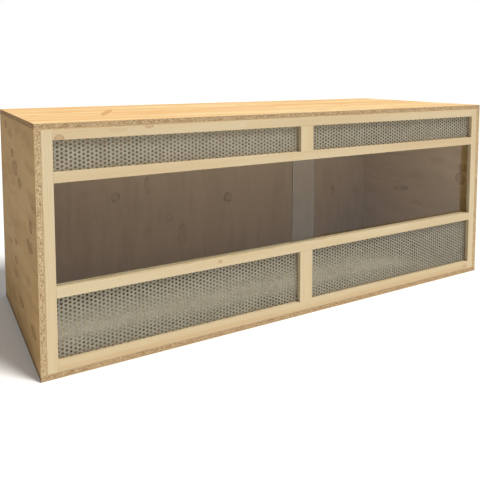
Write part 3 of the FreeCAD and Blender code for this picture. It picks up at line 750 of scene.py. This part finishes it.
def make_sheet_tree():
    """Cuts a sheet: its outline, the holes whose middles lie in the opening, and the screw holes."""
    tree = bpy.data.node_groups.new("Perforated sheet", "GeometryNodeTree")
    sockets = {
        NUMBER: [
            "Width", "Height", "Thickness",
            "Opening Left", "Opening Right", "Opening Foot", "Opening Head",
            "First Hole Across", "First Hole Up", "Pitch", "Hole Radius",
            "Screw Hole Radius", "Screw Margin", "Screw Inset",
        ],
        "NodeSocketInt": ["Columns", "Rows", "Hole Sides", "Screws per Edge"],
        VECTOR: ["Place"],
        "NodeSocketMaterial": ["Finish"],
    }
    for kind, labels in sockets.items():
        for label in labels:
            tree.interface.new_socket(label, in_out="INPUT", socket_type=kind)
    tree.interface.new_socket("Sheet", in_out="OUTPUT", socket_type="NodeSocketGeometry")
    given = tree.nodes.new("NodeGroupInput").outputs
    index = tree.nodes.new("GeometryNodeInputIndex").outputs[0]

    sides = given["Hole Sides"]
    holes = circles(tree, hole_grid(tree, given, index), given["Hole Radius"], sides)
    screw_holes = circles(tree, screw_row(tree, given, index), given["Screw Hole Radius"], sides)
    outline = {"Width": given["Width"], "Height": given["Height"]}
    outline = add(tree, "GeometryNodeCurvePrimitiveQuadrilateral", outline).outputs[0]
    middle = join(tree, calc(tree, "DIVIDE", given["Width"], 2), calc(tree, "DIVIDE", given["Height"], 2), 0)
    outline = add(tree, "GeometryNodeTransform", {"Geometry": outline, "Translation": middle}).outputs[0]

    curves = together(tree, outline, holes, screw_holes)
    curves = add(tree, "GeometryNodeRealizeInstances", {0: curves}).outputs[0]
    flat = add(tree, "GeometryNodeFillCurve", {0: curves}).outputs[0]
    raised = {"Mesh": flat, "Offset Scale": given["Thickness"], "Individual": False}
    raised = add(tree, "GeometryNodeExtrudeMesh", raised, mode="FACES").outputs[0]
    turned = add(tree, "GeometryNodeFlipFaces", {0: flat}).outputs[0]
    welded = {0: together(tree, raised, turned), "Distance": WELD_DISTANCE}
    welded = add(tree, "GeometryNodeMergeByDistance", welded).outputs[0]
    upright = {"Geometry": welded, "Translation": given["Place"], "Rotation": (QUARTER, 0, 0)}
    upright = add(tree, "GeometryNodeTransform", upright).outputs[0]
    real = add(tree, "GeometryNodeRealizeInstances", {0: upright}).outputs[0]
    finished = {"Geometry": real, "Material": given["Finish"]}
    finished = add(tree, "GeometryNodeSetMaterial", finished).outputs[0]
    add(tree, "NodeGroupOutput", {0: finished})
    return tree


def perforated_sheet(node, tree, metals, row, left, right, under, over, first_hole):
    """One sheet in place of its plain node, behind the opening that the four battens leave."""
    low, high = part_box(node)
    opening_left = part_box(left)[1].x
    opening_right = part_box(right)[0].x
    opening_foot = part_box(under)[1].z
    opening_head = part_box(over)[0].z
    sizes = {
        "Width": high.x - low.x,
        "Height": high.z - low.z,
        "Thickness": high.y - low.y,
        "Opening Left": opening_left - low.x,
        "Opening Right": opening_right - low.x,
        "Opening Foot": opening_foot - low.z,
        "Opening Head": opening_head - low.z,
        "First Hole Across": first_hole[0],
        "First Hole Up": first_hole[1],
        "Pitch": HOLE_PITCH,
        "Hole Radius": HOLE_RADIUS,
        "Screw Hole Radius": SCREW_HOLE_RADIUS,
        "Screw Margin": SCREW_END_MARGIN,
        "Screw Inset": SCREW_INSET,
        "Columns": math.ceil((opening_right - opening_left) / HOLE_PITCH),
        "Rows": math.ceil((opening_head - opening_foot) / HOLE_PITCH) + 1,
        "Hole Sides": HOLE_SIDES,
        "Screws per Edge": SCREWS_PER_EDGE,
        "Place": (low.x, high.y, low.z),
        "Finish": metals[row],
    }
    sheet = bpy.data.objects.new(node.replace("sheet", "perforated_sheet"), bpy.data.meshes.new(node))
    bpy.context.scene.collection.objects.link(sheet)
    cutter = sheet.modifiers.new("Perforate", "NODES")
    cutter.node_group = tree
    for socket in tree.interface.items_tree:
        if socket.in_out == "INPUT":
            cutter[socket.identifier] = sizes[socket.name]
    seen = sheet.evaluated_get(bpy.context.evaluated_depsgraph_get())
    mesh = bpy.data.meshes.new_from_object(seen)
    sheet.modifiers.remove(cutter)
    sheet.data = mesh
    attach(sheet, "cabinet")
    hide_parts(node)


# The pieces of wood

def knot(place, half_sizes, darkness, turn=0):
    """A knot at a place in millimetres from the front left bottom corner: to the right, back and up.

    Turn is how far its length is turned on a flat board, in degrees.
    """
    centre = [low + value * MM for low, value in zip(cad_box[0], place)]
    shape = {"Centre": centre, "Size": [value * MM for value in half_sizes], "Turn": math.radians(turn)}
    return {"shape": shape, "darkness": darkness}


# Knots, as the photograph shows them, and on the sides that it doesn't show as pine has them.
LEFT_BOARD_KNOTS = [
    knot((0, 311, 435), (4, 30, 8), 0.7),
    knot((0, 214, 443), (4, 18, 6), 0.3),
    knot((0, 59, 440), (4, 15, 10), 0.3),
    knot((0, 283, 393), (4, 17, 9), 1),
    knot((0, 250, 366), (4, 36, 15), 0.8),
    knot((0, 183, 342), (4, 25, 9), 1),
    knot((0, 280, 330), (4, 20, 7), 0.4),
    knot((0, 25, 320), (4, 24, 6), 0.6),
    knot((0, 66, 277), (4, 20, 12), 1),
    knot((0, 83, 235), (4, 30, 11), 1),
    knot((0, 445, 303), (4, 18, 16), 0.5),
    knot((0, 352, 177), (4, 24, 8), 0.4),
    knot((0, 270, 153), (4, 20, 7), 0.8),
    knot((0, 283, 120), (4, 24, 6), 0.7),
    knot((0, 114, 153), (4, 20, 11), 0.5),
    knot((0, 218, 77), (4, 30, 8), 1),
    knot((0, 66, 70), (4, 28, 9), 1),
    knot((0, 259, 27), (4, 20, 7), 0.4),
    knot((0, 383, 37), (4, 16, 9), 0.4),
]
RIGHT_BOARD_KNOTS = [
    knot((1188, 293, 190), (4, 26, 9), 0.6),
    knot((1188, 218, 158), (4, 20, 7), 0.5),
    knot((1188, 51, 262), (4, 14, 16), 0.9),
    knot((1188, 44, 296), (4, 12, 12), 0.7),
    knot((1188, 138, 305), (4, 24, 8), 0.4),
    knot((1200, 130, 350), (4, 24, 12), 0.8),
    knot((1200, 330, 140), (4, 30, 13), 0.8),
    knot((1200, 240, 260), (4, 16, 8), 0.6),
]
BACK_BOARD_KNOTS = [
    knot((286, 468, 227), (11, 4, 13), 0.8),
    knot((379, 468, 250), (7, 4, 22), 0.5),
    knot((201, 468, 242), (12, 4, 7), 0.4),
    knot((159, 468, 240), (5, 4, 60), 0.3),
    knot((374, 468, 115), (8, 4, 12), 0.5),
    knot((441, 468, 148), (13, 4, 12), 0.4),
    knot((486, 468, 90), (14, 4, 34), 0.4),
    knot((640, 468, 188), (13, 4, 15), 1),
    knot((1042, 468, 167), (10, 4, 16), 0.5),
    knot((1150, 468, 158), (9, 4, 18), 0.5),
    knot((90, 480, 380), (9, 4, 24), 0.8),
    knot((330, 480, 190), (8, 4, 18), 0.6),
    knot((560, 480, 330), (11, 4, 26), 0.9),
    knot((780, 480, 110), (7, 4, 20), 0.6),
    knot((985, 480, 290), (10, 4, 22), 0.8),
]
TOP_BOARD_KNOTS = [
    knot((198, 228, 480), (7, 84, 4), 1, 21),
    knot((610, 330, 480), (16, 9, 4), 0.6),
    knot((700, 70, 480), (22, 9, 4), 0.5),
    knot((980, 120, 480), (18, 9, 4), 0.5),
]
TOP_RAIL_KNOTS = [
    knot((44, 0, 450), (8, 20, 7), 0.9),
    knot((154, 0, 461), (17, 20, 3.5), 0.25),
    knot((216, 0, 466), (9, 20, 3.5), 0.8),
]
LOWER_MIDDLE_RAIL_KNOTS = [knot((372, 0, 166), (5, 20, 4), 1)]
BOTTOM_RAIL_KNOTS = [knot((1156, 0, 20), (5, 20, 4), 1)]
TOP_RAIL_SEAMS = [-162 * MM]

# Each board with its tones: the left, back and bottom boards take darker copies of the facing as painted
# shade, the right board a paler one as painted light.
BOARDS = {
    "top_panel": dict(
        lie=LENGTHWAYS_FLAT, tones=TOP_FACING, knots=TOP_BOARD_KNOTS, knot_share=0.06, mottling=0.35,
        edge_brown_share=0.2, end_brown_share=0.4,
    ),
    "bottom_panel": dict(lie=LENGTHWAYS_FLAT, tones=FLOOR_FACING_PAINTED_SHADE, edge_brown_share=0.25, end_brown_share=0.4),
    "left_side_panel": dict(
        lie=ACROSS_SIDE, tones=LEFT_FACING_PAINTED_SHADE, knots=LEFT_BOARD_KNOTS, knot_share=0.05, streaks=0.7,
    ),
    "right_side_panel": dict(
        lie=ACROSS_SIDE, tones=RIGHT_FACING_PAINTED_LIGHT, knots=RIGHT_BOARD_KNOTS, knot_share=0.05, streaks=0.7,
        mottling=0.3,
    ),
    "back_panel": dict(
        lie=UPRIGHT_FRONT, tones=INNER_FACING_PAINTED_SHADE, knots=BACK_BOARD_KNOTS, knot_share=0, streaks=0.4,
        mottling=0.25,
    ),
}
for node, look in BOARDS.items():
    dress(node, faced_board(node, **look))

BATTENS = {
    "left_stile": dict(lie=UPRIGHT_FRONT, seed=0.1),
    "right_stile": dict(lie=UPRIGHT_FRONT, seed=0.2),
    "bottom_rail": dict(lie=LENGTHWAYS_FRONT, seed=1.7, knots=BOTTOM_RAIL_KNOTS, two_tone=0.35),
    "lower_middle_rail": dict(lie=LENGTHWAYS_FRONT, seed=0.4, knots=LOWER_MIDDLE_RAIL_KNOTS),
    "upper_middle_rail": dict(lie=LENGTHWAYS_FRONT, seed=0.5),
    "top_rail": dict(lie=LENGTHWAYS_FRONT, seed=0.6, knots=TOP_RAIL_KNOTS, seams=TOP_RAIL_SEAMS),
    "lower_mullion": dict(lie=UPRIGHT_FRONT, seed=0.7),
    "upper_mullion": dict(lie=UPRIGHT_FRONT, seed=0.8),
    "lower_track": dict(lie=LENGTHWAYS_FRONT, seed=0.9),
    "upper_track": dict(lie=LENGTHWAYS_FRONT, seed=1.1),
}
for node, look in BATTENS.items():
    dress(node, batten(node, **look))


# The other pieces

glass = pane_glass()
dress("left_pane", glass)
dress("right_pane", glass)
rod = beech()
dress("board_dowels", rod)
dress("frame_dowels", rod)
dress("sheet_screws", zinc_screw())

sheet_tree = make_sheet_tree()
# The lower sheets take the darker zinc: painted shade, the same metal as the upper sheets.
sheet_metal = {"upper": zinc_sheet("upper", UPPER_ZINC), "lower": zinc_sheet("lower", LOWER_ZINC_PAINTED_SHADE)}
for node, setting in SHEETS.items():
    perforated_sheet(node, sheet_tree, sheet_metal, **setting)
bpy.data.node_groups.remove(sheet_tree)


# The studio

def floor():
    """A pale floor just under the box."""
    mesh = bpy.data.meshes.new("floor")
    far = FLOOR_HALF_WIDTH
    corners = [(x, y, -FLOOR_DROP) for x, y in [(-far, -far), (far, -far), (far, far), (-far, far)]]
    mesh.from_pydata(corners, [], [(0, 1, 2, 3)])
    ground = bpy.data.objects.new("floor", mesh)
    bpy.context.scene.collection.objects.link(ground)
    material, tree, shader, place = finish("floor")
    tone = blend(tree, noise(tree, place, FLOOR_CLOUDS), *FLOOR_TONES)
    tree.links.new(tone, shader.inputs["Base Color"])
    shader.inputs["Roughness"].default_value = FLOOR_ROUGHNESS
    mesh.materials.append(material)


def sky():
    """Even white light from all round, which looks brighter than it shines."""
    world = bpy.data.worlds.new("studio")
    bpy.context.scene.world = world
    world.use_nodes = True
    tree = world.node_tree
    seen = tree.nodes.new("ShaderNodeLightPath").outputs["Is Camera Ray"]
    strength = calc(tree, "MULTIPLY_ADD", seen, SKY_SEEN - SKY_LIGHT, SKY_LIGHT)
    tree.links.new(strength, tree.nodes["Background"].inputs["Strength"])
    tree.nodes["Background"].inputs["Color"].default_value = (1, 1, 1, 1)


def lamp():
    """One large soft light, from the right, in front and above."""
    sun = bpy.data.lights.new("key", "SUN")
    sun.energy = SUN_STRENGTH
    sun.angle = math.radians(SUN_SPREAD)
    sun.color = SUN_COLOUR
    key = bpy.data.objects.new("key", sun)
    bpy.context.scene.collection.objects.link(key)
    key.rotation_euler = Vector(TO_THE_SUN).to_track_quat("Z", "Y").to_euler()


def camera():
    """Stands where the photograph was taken from."""
    lens = bpy.data.cameras.new("camera")
    lens.sensor_width = SENSOR_WIDTH
    lens.lens = FOCAL_LENGTH
    lens.shift_x = LENS_SHIFT_ACROSS
    lens.shift_y = LENS_SHIFT_UP
    view = bpy.data.objects.new("camera", lens)
    bpy.context.scene.collection.objects.link(view)
    view.location = CAMERA_PLACE
    view.rotation_euler = (math.radians(90 - CAMERA_TILT), 0, math.radians(-CAMERA_TURN))
    bpy.context.scene.camera = view


floor()
sky()
lamp()
camera()
bpy.context.scene.view_settings.view_transform = "Standard"
